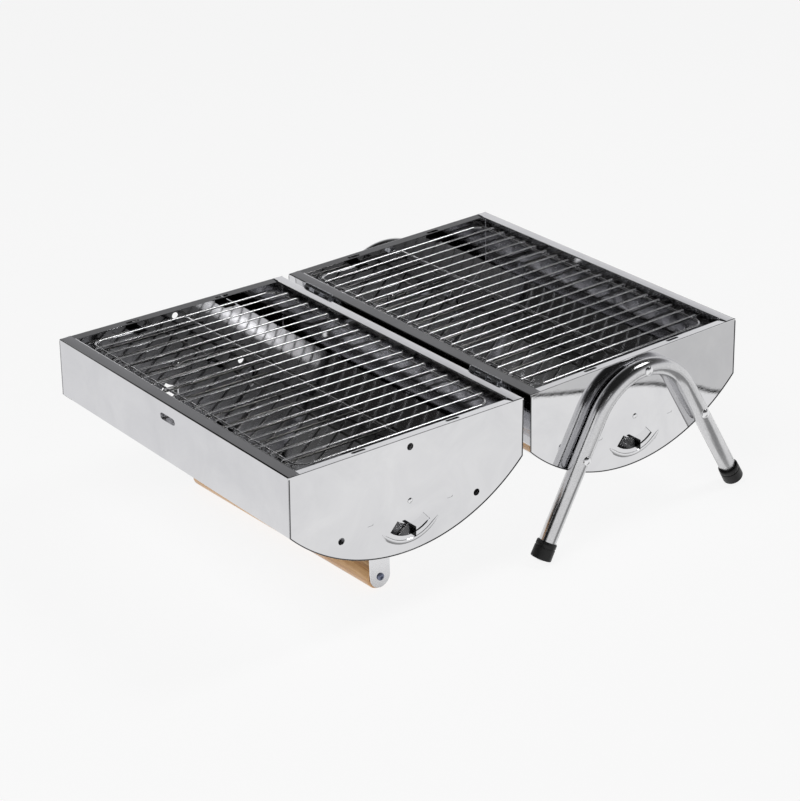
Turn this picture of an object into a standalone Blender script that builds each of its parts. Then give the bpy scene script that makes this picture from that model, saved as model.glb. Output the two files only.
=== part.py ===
"""Folding twin-bowl barrel grill, opened flat.

Two identical half-barrel bowls share a hinge line. The base bowl stands on two bent
tube legs; the lid bowl swings over it, and when opened it rests on its wooden handle.
Axes: X along the hinge line, +Y from the lid bowl to the base bowl, +Z up.
The floor is z = 0.
"""
import math

import bmesh
import bpy
from mathutils import Vector

# ---- driving dimensions, metres and degrees ----
BOWL_LENGTH = 0.420          # outside, along the hinge line
BOWL_DEPTH = 0.291           # outside, across the hinge line
WALL_HEIGHT = 0.065          # straight upper wall
BELLY_SAG = 0.061            # depth of the curved belly under the wall
BELLY_STEPS = 24             # flats along the belly
SHEET = 0.0008
FLANGE_SIDE = 0.013          # inward lip of the long walls
FLANGE_END = 0.010           # inward lip of the end panels
FLANGE_RISE = 0.0006         # inner edge of a side lip above the rim
LIP_DROP = 0.0009            # inner edge of an end lip under the rim
BEND_RADIUS = 0.0016
RIM_HEIGHT = 0.1912
HINGE_GAP = 0.009            # between the two bowls
PIN_RISE = 0.002             # hinge axis above the rims
LID_TILT = 1.57              # outer edge of the opened lid stands this much higher
Y_SHIFT = -0.0058            # centres the whole object on the origin
GAP = 0.0003                 # between touching pieces

VENT_HEIGHT = -0.0700        # damper rivet under the rim
VENT_INNER = 0.0240
VENT_OUTER = 0.0375
VENT_HALF_ANGLE = 42
LEVER_REACH = 0.0090         # damper lever outside the panel
LEVER_LIP = 0.0030
SHUTTER_HUB = 0.0070
SHUTTER_INNER = 0.0205
SHUTTER_OUTER = 0.0405
SHUTTER_SWEEP = 92
RIVET_HOLE = 0.0021
BEAD_RADIUS = 0.0444
BEAD_HALF_ANGLE = 52
BEAD_WIDTH = 0.0048
BEAD_RISE = 0.0010
WELD = 0.0004                # how far joined bodies sink into a sheet
NOTCH_OFFSET = 0.0583        # grate ledges, either side of the middle
NOTCH_HALF = 0.0075          # half width of a grate ledge
NOTCH_STEM = 0.0040          # ledge stem, in from the panel's face
NOTCH_REACH = 0.0245         # ledge tip, in from the panel's face
NOTCH_SLOT = (0.0170, 0.0040)
LEDGE_OFFSET = 0.050         # charcoal ledges, either side of the middle
LEDGE_HEIGHT = -0.080
LEDGE_HALF = 0.005
LEDGE_REACH = 0.018
DIMPLE = (0.0085, 0.0030)    # shallow oblong pressed over each charcoal ledge

TUBE_RADIUS = 0.0095
TUBE_WALL = 0.0012
TUBE_SIDES = 14
LEG_STANDOFF = 0.0105        # tube axis from the end panel
LEG_LEAN = 29.3
LEG_APEX = -0.0108           # tube axis at the top of the arch
LEG_BEND = 0.0715
FOOT_OFFSET = 0.1409         # middle of the cap's end, either side
CAP_RADIUS = 0.0115
CAP_LENGTH = 0.019
CAP_EDGE = 0.0012            # chamfer of the cap's end
BOLT_LOW = (0.0850, -0.0875)
BOLT_RADIUS = 0.0029
PANEL_HOLE = 0.0039

GRATE_HALF = (0.189, 0.119)
GRATE_PITCH = 0.0189
BAR_RADIUS = 0.0011
RING_RADIUS = 0.0013
BAR_HEIGHT = -0.0032
BAR_HALF = 0.1255
BAR_TURN_DOWN = 0.003        # bar ends reach this far under the ring
SQUARE_WIRE = 1.2            # square wire of about the round wire's section
COAL_HALF = (0.197, 0.098)
COAL_PITCH = 0.028
COAL_RING = 0.0016           # wire radii of the charcoal grate
COAL_BAR = 0.0013

HANDLE_RADIUS = 0.0142
HANDLE_HALF = 0.1565
GRIP_HALF = 0.1561           # the grip's ends stay clear of the straps
NEAR_SHIFT = (0.0015, 0.0025)     # near strap's bend, across and up
FAR_SHIFT = (-0.0060, 0.0)        # far strap's bend
STRAP_WIDTH = 0.025
STRAP_SHEET = 0.0016
STRAP_FOOT = 0.022           # foot length under the belly
STRAP_BOLT_IN = 0.013        # strap bolt, in from the strap
STRAP_HOLE = 0.0024
PILOT_DEPTH = 0.022          # screw hole in each end of the grip

HINGE_CENTRE = 0.145
HINGE_LENGTH = 0.046
HINGE_PIN_RADIUS = 0.0013
KNUCKLE_RADIUS = 0.0024
LEAF_DROP = 0.0160
LEAF_SHEET = 0.0010
PIN_HEAD = (0.0016, 0.0021)  # head radius at its end and at the leaf
LATCH_PIVOT = (0.0050, -0.0160)   # out from the wall, under the rim
LATCH_REACH = 0.0330
LATCH_SHEET = 0.0010
LATCH_BORE = 0.0015
LATCH_RIVET = (0.011, -0.0125)    # rivets, either side of the middle and under the pivot
LATCH_HOLE = 0.0018
LATCH_EAR = (0.0180, 0.0030, 0.0008)     # offset, radius and half thickness
BRACKET = (0.019, -0.018, 0.006)  # half width, lower and upper edge about the pivot
HOOK_HALF = 0.0105
HOOK_STAND = 0.0024          # hook plate out from the pin's axis
HOOK_TIP = 0.0084
CURL_RADIUS = 0.0032
SLOT = (0.0270, 0.0075)      # latch slot in the lid's long wall
SLOT_HEIGHT = -0.0165

HALF_L = BOWL_LENGTH / 2
HALF_D = BOWL_DEPTH / 2
BELLY_RADIUS = (HALF_D ** 2 + BELLY_SAG ** 2) / (2 * BELLY_SAG)
BELLY_CENTRE = -WALL_HEIGHT - BELLY_SAG + BELLY_RADIUS
BELLY_ANGLE = math.asin(HALF_D / BELLY_RADIUS)
BOWL_MIDDLE = HINGE_GAP / 2 + HALF_D
RING_HEIGHT = BAR_HEIGHT - BAR_RADIUS - RING_RADIUS + 0.0005   # wires welded 0.5 mm into each other

STEEL = ("mirror_steel", (0.80, 0.80, 0.81), 0.12, 1.0)
WIRE = ("chromed_wire", (0.72, 0.72, 0.73), 0.18, 1.0)
DARK_WIRE = ("coal_wire", (0.35, 0.35, 0.36), 0.35, 1.0)
RUBBER = ("black_rubber", (0.02, 0.02, 0.02), 0.6, 0.0)
WOOD = ("varnished_wood", (0.78, 0.53, 0.28), 0.35, 0.0)
ZINC = ("zinc_plate", (0.66, 0.67, 0.70), 0.3, 1.0)


# ---- building helpers ----
def material(look):
    """A Principled material for (name, colour, roughness, metallic)."""
    name, colour, roughness, metallic = look
    found = bpy.data.materials.get(name)
    if found:
        return found
    made = bpy.data.materials.new(name)
    made.use_nodes = True
    shader = made.node_tree.nodes["Principled BSDF"]
    shader.inputs["Base Color"].default_value = (*colour, 1)
    shader.inputs["Roughness"].default_value = roughness
    shader.inputs["Metallic"].default_value = metallic
    made.diffuse_color = (*colour, 1)
    return made


def place(name, bm, look, parent, at=(0, 0, 0), smooth=True):
    """Turn a bmesh into a named object under its parent."""
    bmesh.ops.remove_doubles(bm, verts=bm.verts, dist=1e-6)
    bmesh.ops.recalc_face_normals(bm, faces=bm.faces)
    mesh = bpy.data.meshes.new(name)
    bm.to_mesh(mesh)
    bm.free()
    if smooth:
        mesh.shade_smooth()
        mesh.set_sharp_from_angle(angle=math.radians(35))
    if look:
        mesh.materials.append(material(look))
    made = bpy.data.objects.new(name, mesh)
    bpy.context.collection.objects.link(made)
    made.parent = parent
    made.location = at
    return made


def empty(name, parent, at, turn=0.0):
    made = bpy.data.objects.new(name, None)
    bpy.context.collection.objects.link(made)
    made.parent = parent
    made.location = at
    made.rotation_euler = (turn, 0, 0)
    return made


def combine(target, tool, operation):
    """Union or cut the target with a hidden helper object."""
    tool.hide_render = True
    tool.display_type = "WIRE"
    step = target.modifiers.new(operation.lower(), "BOOLEAN")
    step.operation = operation
    step.solver = "EXACT"
    step.object = tool


def arc(centre, radius, start, end, steps):
    """Points of an arc in a plane, angles in radians."""
    turn = [start + (end - start) * i / steps for i in range(steps + 1)]
    return [(centre[0] + radius * math.cos(a), centre[1] + radius * math.sin(a)) for a in turn]


def prism(bm, outline, low, high, axis="X"):
    """Extrude a closed outline between two heights along an axis."""
    def point(p, h):
        if axis == "X":
            return (h, p[0], p[1])
        if axis == "Y":
            return (p[0], h, p[1])
        return (p[0], p[1], h)
    bottom = [bm.verts.new(point(p, low)) for p in outline]
    top = [bm.verts.new(point(p, high)) for p in outline]
    count = len(outline)
    faces = [bm.faces.new(bottom), bm.faces.new(top)]
    for i in range(count):
        j = (i + 1) % count
        faces.append(bm.faces.new((bottom[i], bottom[j], top[j], top[i])))
    return faces


def block(bm, low, high):
    outline = [(low[1], low[2]), (high[1], low[2]), (high[1], high[2]), (low[1], high[2])]
    return prism(bm, outline, low[0], high[0])


def disc(radius, sides, centre=(0.0, 0.0)):
    return arc(centre, radius, 0, 2 * math.pi * (sides - 1) / sides, sides - 1)


def rod(bm, centre, radius, low, high, sides=16, axis="X"):
    prism(bm, disc(radius, sides, centre), low, high, axis)


def drilled(bm, outline, centre, bore, low, high):
    """An outline with a round hole, extruded along X as one closed body."""
    inside = disc(bore, len(outline), centre)
    loops = [(outline, low), (outline, high), (inside, high), (inside, low)]
    rows = [[bm.verts.new((h, *p)) for p in pts] for pts, h in loops]
    for k in range(4):
        bridge(bm, rows[k], rows[(k + 1) % 4])


def turned(bm, profile, centre, sides=16):
    """Turn a profile of (distance along X, radius) about a line through the centre."""
    rows = []
    for along, radius in profile:
        if radius < 1e-6:
            rows.append([bm.verts.new((along, centre[0], centre[1]))])
        else:
            rows.append([bm.verts.new((along, y, z)) for y, z in disc(radius, sides, centre)])
    for a, b in zip(rows, rows[1:]):
        for i in range(sides):
            j = (i + 1) % sides
            if len(a) == 1:
                bm.faces.new((a[0], b[j], b[i]))
            elif len(b) == 1:
                bm.faces.new((a[i], a[j], b[0]))
            else:
                bm.faces.new((a[i], a[j], b[j], b[i]))


def sweep_rows(bm, path, radius, sides, closed=False, phase=0.0):
    """Rings of vertices round a path that lies in one plane."""
    count = len(path)
    pts = [Vector(p) for p in path]
    spans = [pts[i + 1] - pts[i] for i in range(count - 1)]
    plane = next((a.cross(b) for a, b in zip(spans, spans[1:]) if a.cross(b).length > 1e-9), None)
    if plane is None:
        plane = spans[0].orthogonal()
    plane.normalize()
    rows = []
    for i in range(count):
        before = pts[i] - pts[i - 1] if i or closed else pts[1] - pts[0]
        after = pts[(i + 1) % count] - pts[i] if i < count - 1 or closed else before
        before.normalize()
        after.normalize()
        tangent = (before + after).normalized()
        side = tangent.cross(plane)
        stretch = 1 / max(0.3, tangent.dot(after))
        row = []
        for k in range(sides):
            a = phase + 2 * math.pi * k / sides
            offset = side * (radius * stretch * math.cos(a)) + plane * (radius * math.sin(a))
            row.append(bm.verts.new(pts[i] + offset))
        rows.append(row)
    return rows


def bridge(bm, a, b):
    count = len(a)
    for i in range(count):
        j = (i + 1) % count
        bm.faces.new((a[i], a[j], b[j], b[i]))


def wire(bm, path, radius, sides=6, closed=False):
    """A solid round wire along a planar path."""
    rows = sweep_rows(bm, path, radius, sides, closed, math.pi / sides)
    for a, b in zip(rows, rows[1:]):
        bridge(bm, a, b)
    if closed:
        bridge(bm, rows[-1], rows[0])
    else:
        bm.faces.new(rows[0])
        bm.faces.new(rows[-1])


def sheet_outline(path, thickness):
    """Close an outer path with its inner offset, the path turning round the inside."""
    inner = []
    for i, p in enumerate(path):
        here = Vector(p)
        before = (here - Vector(path[i - 1])).normalized() if i else None
        after = (Vector(path[i + 1]) - here).normalized() if i < len(path) - 1 else before
        before = before or after
        tangent = (before + after).normalized()
        normal = Vector((-tangent.y, tangent.x))
        inner.append(tuple(here + normal * thickness / max(0.5, tangent.dot(after))))
    return list(path) + inner[::-1]


# ---- bowl parts, about the middle of a bowl's rim ----
def bowl_path():
    """Outside of the wrap sheet from one lip to the other, in (y, z)."""
    bend = BEND_RADIUS
    left = arc((-HALF_D + bend, -bend), bend, math.pi / 2, math.pi, 3)
    belly = arc((0, BELLY_CENTRE), BELLY_RADIUS,
                -math.pi / 2 - BELLY_ANGLE, -math.pi / 2 + BELLY_ANGLE, BELLY_STEPS)
    right = arc((HALF_D - bend, -bend), bend, 0, math.pi / 2, 3)
    lip = HALF_D - FLANGE_SIDE
    return [(-lip, FLANGE_RISE), *left, *belly, *right, (lip, FLANGE_RISE)]


def shell(name, parent, cuts):
    bm = bmesh.new()
    half = HALF_L - SHEET - GAP
    prism(bm, sheet_outline(bowl_path(), SHEET), -half, half)
    body = place(name, bm, STEEL, parent)
    combine(body, place("cut_" + name, cuts, None, parent, smooth=False), "DIFFERENCE")
    return body


def sector(inner, outer, start, end, steps):
    """Outline of a ring sector round the vent rivet, angles in degrees from straight down."""
    a, b = (math.radians(v) - math.pi / 2 for v in (start, end))
    centre = (0, VENT_HEIGHT)
    return arc(centre, outer, a, b, steps) + arc(centre, inner, b, a, steps)


def oblong(centre, length, width, steps=4):
    """A slot outline, longer along its first axis."""
    r = width / 2
    reach = length / 2 - r
    right = arc((centre[0] + reach, centre[1]), r, -math.pi / 2, math.pi / 2, steps)
    left = arc((centre[0] - reach, centre[1]), r, math.pi / 2, 3 * math.pi / 2, steps)
    return right + left


def bead(bm, face, side):
    """A low raised arc under the vent, faded out at both ends."""
    steps, across = 18, 6
    rows = []
    for i in range(steps + 1):
        share = i / steps
        a = math.radians(BEAD_HALF_ANGLE * (2 * share - 1)) - math.pi / 2
        fade = min(1.0, 8 * min(share, 1 - share) + 0.25)
        row = []
        for k in range(across + 1):
            t = math.pi * k / across
            radius = BEAD_RADIUS + BEAD_WIDTH / 2 * fade * math.cos(t)
            rise = BEAD_RISE * fade * math.sin(t)
            row.append((face + side * rise, radius * math.cos(a), VENT_HEIGHT + radius * math.sin(a)))
        row.append((face - side * WELD, row[-1][1], row[-1][2]))
        row.append((face - side * WELD, row[0][1], row[0][2]))
        rows.append([bm.verts.new(p) for p in row])
    for a, b in zip(rows, rows[1:]):
        bridge(bm, a, b)
    bm.faces.new(rows[0])
    bm.faces.new(rows[-1])


def end_panel(name, parent, side):
    """End panel at +X or -X: plate, inward lip, four grate ledges, vent and bolt holes."""
    bm = bmesh.new()
    outline = [p for p in bowl_path() if p[1] < -BEND_RADIUS / 2]
    outline = [(-HALF_D, 0), *outline, (HALF_D, 0)]
    outer, inner = side * HALF_L, side * (HALF_L - SHEET)
    prism(bm, outline, *sorted((outer, inner)))
    top = [e for e in bm.edges if all(abs(v.co.z) < 1e-7 and abs(v.co.x - outer) < 1e-7 for v in e.verts)]
    bmesh.ops.bevel(bm, geom=top, offset=SHEET * 0.8, segments=3, affect="EDGES", profile=0.5)
    body = place(name, bm, STEEL, parent)

    def span(a, b):
        return sorted((side * (HALF_L - a), side * (HALF_L - b)))
    tabs = bmesh.new()
    lip = HALF_D - FLANGE_SIDE - GAP
    root, edge = side * (HALF_L - SHEET * 0.5), side * (HALF_L - FLANGE_END)
    slope = [(root, -0.00002), (edge, -LIP_DROP), (edge, -LIP_DROP - SHEET), (root, -SHEET)]
    prism(tabs, slope, -lip, lip, "Y")
    combine(body, place("lip_" + name, tabs, None, parent, smooth=False), "UNION")
    ledges = bmesh.new()
    for y in (-NOTCH_OFFSET, NOTCH_OFFSET):
        shelf = RING_HEIGHT - RING_RADIUS - GAP
        stem, tip = side * (HALF_L - NOTCH_STEM), side * (HALF_L - NOTCH_REACH)
        back = side * (HALF_L - NOTCH_STEM - SHEET)
        hook = [(stem, -SHEET / 2), (stem, shelf - SHEET), (tip, shelf - SHEET), (tip, shelf),
                (back, shelf), (back, -SHEET / 2)]
        prism(ledges, hook, y - NOTCH_HALF, y + NOTCH_HALF, "Y")
    for y in (-LEDGE_OFFSET, LEDGE_OFFSET):
        x0, x1 = span(SHEET * 0.5, LEDGE_REACH)
        block(ledges, (x0, y - LEDGE_HALF, LEDGE_HEIGHT - SHEET), (x1, y + LEDGE_HALF, LEDGE_HEIGHT))
    combine(body, place("ledge_" + name, ledges, None, parent, smooth=False), "UNION")
    raised = bmesh.new()
    bead(raised, outer, side)
    combine(body, place("bead_" + name, raised, None, parent, smooth=False), "UNION")
    cuts = bmesh.new()
    x0, x1 = span(-0.004, 0.0030)
    for y, z in ((0, LEG_APEX), (-BOLT_LOW[0], BOLT_LOW[1]), BOLT_LOW):
        rod(cuts, (y, z), PANEL_HOLE, x0, x1, 14)
    rod(cuts, (0, VENT_HEIGHT), RIVET_HOLE, x0, x1, 8)
    prism(cuts, sector(VENT_INNER, VENT_OUTER, -VENT_HALF_ANGLE, VENT_HALF_ANGLE, 10), x0, x1)
    for y in (-LEDGE_OFFSET, LEDGE_OFFSET):
        x0, x1 = span(-0.002, 0.00025)
        prism(cuts, oblong((y, LEDGE_HEIGHT - 0.001), *DIMPLE, 3), x0, x1)
    for y in (-NOTCH_OFFSET, NOTCH_OFFSET):
        notch = [(a, y + b) for b, a in oblong((0, side * (HALF_L - 0.0068)), *NOTCH_SLOT)]
        prism(cuts, notch, -0.0030, 0.0020, "Z")
    combine(body, place("cut_" + name, cuts, None, parent, smooth=False), "DIFFERENCE")
    return body


def damper(name, parent, side):
    """Vent shutter on the inside of an end panel, turning on the rivet at its origin."""
    face = side * (HALF_L - SHEET - GAP)
    back = face - side * SHEET
    low, high = sorted((face, back))

    def ray(angle, radius):
        a = math.radians(angle) - math.pi / 2
        return (radius * math.cos(a), radius * math.sin(a))
    down = math.pi / 2
    outline = arc((0, 0), SHUTTER_OUTER, -down, math.radians(SHUTTER_SWEEP) - down, 12)
    outline += [ray(SHUTTER_SWEEP, SHUTTER_INNER), ray(60, SHUTTER_INNER), ray(80, SHUTTER_HUB)]
    outline += arc((0, 0), SHUTTER_HUB, math.radians(100) - down, math.radians(310) - down, 8)
    outline += [ray(25, SHUTTER_INNER), ray(0, SHUTTER_INNER)]
    bm = bmesh.new()
    prism(bm, outline, low, high)
    body = place(name, bm, STEEL, parent, (0, 0, VENT_HEIGHT))
    lever = bmesh.new()
    reach = sorted((back, side * (HALF_L + LEVER_REACH)))
    r0, r1 = VENT_INNER + 0.0012, VENT_OUTER - 0.0012
    block(lever, (reach[0], -SHEET / 2, -r1), (reach[1], SHEET / 2, -r0))
    combine(body, place("lever_" + name, lever, None, parent, (0, 0, VENT_HEIGHT), False), "UNION")
    reach = sorted((side * (HALF_L - 0.0002), side * (HALF_L + LEVER_REACH)))
    top = bmesh.new()
    block(top, (reach[0], -LEVER_LIP, -r0 - SHEET), (reach[1], 0.0001, -r0 + 0.00005))
    combine(body, place("top_" + name, top, None, parent, (0, 0, VENT_HEIGHT), False), "UNION")
    cut = bmesh.new()
    rod(cut, (0, 0), RIVET_HOLE, low - 0.001, high + 0.001, 12)
    combine(body, place("cut_" + name, cut, None, parent, (0, 0, VENT_HEIGHT), False), "DIFFERENCE")
    return body


def rivet(name, parent, side):
    """Damper rivet with a domed head outside and a flat head inside."""
    bm = bmesh.new()
    outer = HALF_L + GAP
    inner = HALF_L - 2 * SHEET - 2 * GAP
    profile = [(inner - 0.0010, 0), (inner - 0.0010, 0.0028), (inner, 0.0032), (inner, 0.0017),
               (outer, 0.0017), (outer, 0.0030), (outer + 0.0007, 0.0027),
               (outer + 0.0012, 0.0017), (outer + 0.0014, 0)]
    turned(bm, [(side * a, r) for a, r in profile], (0, VENT_HEIGHT), 10)
    return place(name, bm, ZINC, parent)


def grate_ring(bm, half, radius, corner, height, sides):
    """Frame wire of a grate, a rectangle with round corners."""
    path = []
    for k, (sx, sy) in enumerate(((1, 1), (-1, 1), (-1, -1), (1, -1))):
        centre = (sx * (half[0] - corner), sy * (half[1] - corner))
        path += arc(centre, corner, k * math.pi / 2, (k + 1) * math.pi / 2, 4)
    wire(bm, [(x, y, height) for x, y in path], radius, sides, closed=True)


def cooking_grate(name, parent):
    """Ring and middle wire below, round bars with turned-down ends on top."""
    below = RING_HEIGHT
    bm = bmesh.new()
    grate_ring(bm, GRATE_HALF, RING_RADIUS, 0.012, below, 6)
    body = place(name, bm, WIRE, parent)
    bars = bmesh.new()
    count = round(GRATE_HALF[0] / GRATE_PITCH) - 1
    tip = [(BAR_HALF, below - BAR_TURN_DOWN), (BAR_HALF, BAR_HEIGHT)]
    for k in range(-count, count + 1):
        path = tip + [(-y, z) for y, z in reversed(tip)]
        wire(bars, [(k * GRATE_PITCH, y, z) for y, z in path], BAR_RADIUS * SQUARE_WIRE, 4)
    combine(body, place("bars_" + name, bars, None, parent, smooth=False), "UNION")
    middle = bmesh.new()
    reach = GRATE_HALF[0] + 0.0005
    wire(middle, [(-reach, 0, below), (reach, 0, below)], RING_RADIUS, 6)
    combine(body, place("middle_" + name, middle, None, parent, smooth=False), "UNION")
    return body


def charcoal_grate(name, parent):
    """Lower wire grate that holds the coals over the belly."""
    base = LEDGE_HEIGHT + GAP + COAL_RING
    bm = bmesh.new()
    grate_ring(bm, COAL_HALF, COAL_RING, 0.015, base, 4)
    body = place(name, bm, DARK_WIRE, parent)
    bars = bmesh.new()
    count = int(COAL_HALF[0] / COAL_PITCH)
    reach = COAL_HALF[1] + 0.001
    for k in range(-count, count + 1):
        x = k * COAL_PITCH
        wire(bars, [(x, -reach, base + 0.0022), (x, reach, base + 0.0022)], COAL_BAR, 4)
    combine(body, place("bars_" + name, bars, None, parent, smooth=False), "UNION")
    runners = bmesh.new()
    for y in (-LEDGE_OFFSET, LEDGE_OFFSET):
        half = COAL_HALF[0] + 0.0005
        wire(runners, [(-half, y, base), (half, y, base)], COAL_RING, 4)
    combine(body, place("runners_" + name, runners, None, parent, smooth=False), "UNION")
    return body


def bowl_fittings(prefix, parent):
    """What both bowls have alike: end panels, vents and grates."""
    for word, side in (("near", 1), ("far", -1)):
        end_panel(f"{prefix}_end_panel_{word}", parent, side)
        damper(f"{prefix}_damper_{word}", parent, side)
        rivet(f"{prefix}_damper_rivet_{word}", parent, side)
    cooking_grate(f"{prefix}_cooking_grate", parent)
    charcoal_grate(f"{prefix}_charcoal_grate", parent)


# ---- legs, about the middle of the base bowl's rim ----
def leg_path(trim):
    """Half arch of the leg's axis in (y, z), from foot to apex, mirrored to the other foot."""
    lean = math.radians(LEG_LEAN)
    low = RIM_HEIGHT - (CAP_RADIUS - CAP_EDGE) * math.sin(lean)
    foot = Vector((FOOT_OFFSET, -low)) + Vector((-math.sin(lean), math.cos(lean))) * trim
    bend = arc((0, LEG_APEX - LEG_BEND), LEG_BEND, lean, math.pi - lean, 13)
    return [tuple(foot), *bend, (-foot.x, foot.y)]


def leg(name, parent, side):
    """Bent tube with open ends and three pairs of bolt holes."""
    x = side * (HALF_L + LEG_STANDOFF)
    path = [(x, y, z) for y, z in leg_path(0.0030)]
    bm = bmesh.new()
    outer = sweep_rows(bm, path, TUBE_RADIUS, TUBE_SIDES)
    inner = sweep_rows(bm, path, TUBE_RADIUS - TUBE_WALL, TUBE_SIDES)
    for rows in (outer, inner):
        for a, b in zip(rows, rows[1:]):
            bridge(bm, a, b)
    bridge(bm, outer[0], inner[0])
    bridge(bm, outer[-1], inner[-1])
    body = place(name, bm, STEEL, parent)
    cuts = bmesh.new()
    for y, z in ((0, LEG_APEX), (-BOLT_LOW[0], BOLT_LOW[1]), BOLT_LOW):
        rod(cuts, (y, z), BOLT_RADIUS + GAP, x - 0.02, x + 0.02, 8)
    combine(body, place("cut_" + name, cuts, None, parent, smooth=False), "DIFFERENCE")
    return body


def foot_cap(name, parent, side, hand):
    """Rubber cap pushed over a tube end, its end square to the tube."""
    bm = bmesh.new()
    bore = TUBE_RADIUS + GAP
    profile = [(0, 0), (0, CAP_RADIUS - CAP_EDGE), (CAP_EDGE, CAP_RADIUS),
               (CAP_LENGTH, CAP_RADIUS - 0.0004), (CAP_LENGTH, bore), (0.0026, bore), (0.0026, 0)]
    turned(bm, profile, (0, 0), 16)
    lean = math.radians(LEG_LEAN)
    low = RIM_HEIGHT - (CAP_RADIUS - CAP_EDGE) * math.sin(lean)
    cap = place(name, bm, RUBBER, parent, (side * (HALF_L + LEG_STANDOFF), hand * FOOT_OFFSET, -low))
    upward = Vector((0, -hand * math.sin(lean), math.cos(lean)))
    cap.rotation_euler = Vector((1, 0, 0)).rotation_difference(upward).to_euler()
    return cap


def leg_bolt(name, parent, side, spot):
    """Domed bolt through tube and panel."""
    outer = HALF_L + LEG_STANDOFF + TUBE_RADIUS + GAP
    inner = HALF_L - SHEET - 0.0075
    profile = [(inner, 0), (inner, BOLT_RADIUS), (outer, BOLT_RADIUS), (outer, 0.0052),
               (outer + 0.0012, 0.0048), (outer + 0.0022, 0.0034), (outer + 0.0027, 0.0015),
               (outer + 0.0027, 0)]
    bm = bmesh.new()
    turned(bm, [(side * a, r) for a, r in profile], spot, 10)
    return place(name, bm, ZINC, parent)


def leg_nut(name, parent, side, spot):
    """Hexagon nut against the inside of the panel."""
    outer = side * (HALF_L - SHEET - GAP)
    inner = side * (HALF_L - SHEET - GAP - 0.0045)
    flats = []
    corners = disc(0.0056, 6, spot)
    for i, p in enumerate(corners):
        q = corners[(i + 1) % 6]
        flats += [p, ((p[0] + q[0]) / 2, (p[1] + q[1]) / 2)]
    bm = bmesh.new()
    drilled(bm, flats, spot, BOLT_RADIUS + GAP, *sorted((outer, inner)))
    return place(name, bm, ZINC, parent)


def base_legs(parent):
    spots = (("top", (0, LEG_APEX)), ("hinge_side", (-BOLT_LOW[0], BOLT_LOW[1])), ("latch_side", BOLT_LOW))
    for word, side in (("near", 1), ("far", -1)):
        leg(f"leg_{word}", parent, side)
        for spot_word, spot in spots:
            leg_bolt(f"leg_bolt_{word}_{spot_word}", parent, side, spot)
            leg_nut(f"leg_nut_{word}_{spot_word}", parent, side, spot)
        for hand_word, hand in (("hinge_side", -1), ("latch_side", 1)):
            foot_cap(f"foot_cap_{word}_{hand_word}", parent, side, hand)


# ---- hinges, about the hinge axis ----
def hinge_leaf(name, parent, centre, hand, turns):
    """Leaf on a bowl's long wall, joined to its knuckles; hand is +1 base, -1 lid."""
    wall = hand * (HINGE_GAP / 2 - GAP)
    inner = hand * (HINGE_GAP / 2 - GAP - LEAF_SHEET)
    bm = bmesh.new()
    low, high = centre - HINGE_LENGTH / 2, centre + HINGE_LENGTH / 2
    outline = [(wall, -PIN_RISE - LEAF_DROP), (wall, -PIN_RISE - 0.0020), (wall, -0.0004),
               (hand * 0.0015, 0.0006), (hand * 0.0015, -0.0006), (inner, -0.0012),
               (inner, -PIN_RISE - LEAF_DROP)]
    slots = [low + (high - low) * k / 5 for k in range(6)]
    for k in turns:
        prism(bm, outline, slots[k] + GAP, slots[k + 1] - GAP)
    body_bm = bmesh.new()
    plate = sorted((wall, inner))
    block(body_bm, (low + GAP, plate[0], -PIN_RISE - LEAF_DROP), (high - GAP, plate[1], -PIN_RISE - 0.0030))
    body = place(name, body_bm, ZINC, parent)
    combine(body, place("arm_" + name, bm, None, parent, smooth=False), "UNION")
    rings = bmesh.new()
    for k in turns:
        rod(rings, (0, 0), KNUCKLE_RADIUS, slots[k] + GAP, slots[k + 1] - GAP, 10)
    combine(body, place("knuckle_" + name, rings, None, parent, smooth=False), "UNION")
    bore = bmesh.new()
    rod(bore, (0, 0), HINGE_PIN_RADIUS + GAP, low - 0.01, high + 0.01, 8)
    combine(body, place("bore_" + name, bore, None, parent, smooth=False), "DIFFERENCE")
    return body


def hinge_pin(name, parent, centre):
    """Pin with a round head at each end."""
    half = HINGE_LENGTH / 2 + GAP
    head = half + 0.0012
    radius = HINGE_PIN_RADIUS
    small, large = PIN_HEAD
    profile = [(-head, 0), (-head, small), (-half, large), (-half, radius),
               (half, radius), (half, large), (head, small), (head, 0)]
    bm = bmesh.new()
    turned(bm, [(centre + a, r) for a, r in profile], (0, 0), 8)
    return place(name, bm, ZINC, parent)


# ---- lid handle, about the middle of the lid bowl's rim ----
def handle_drop():
    """Handle axis under the rim, so that the opened lid rests on it."""
    tilt = math.radians(LID_TILT)
    return (RIM_HEIGHT - HANDLE_RADIUS + BOWL_MIDDLE * math.sin(tilt)) / math.cos(tilt)


def grip_end(side):
    """Centre of the grip's near (+1) or far (-1) end."""
    across, up = NEAR_SHIFT if side > 0 else FAR_SHIFT
    return Vector((side * HANDLE_HALF, across, up - handle_drop()))


def grip_place(made):
    """Lay a piece made along X on the grip's own line."""
    far, near = grip_end(-1), grip_end(1)
    made.location = (far + near) / 2
    made.rotation_euler = Vector((1, 0, 0)).rotation_difference(near - far).to_euler()


def belly_at(y):
    return BELLY_CENTRE - math.sqrt(BELLY_RADIUS ** 2 - y ** 2)


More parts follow.
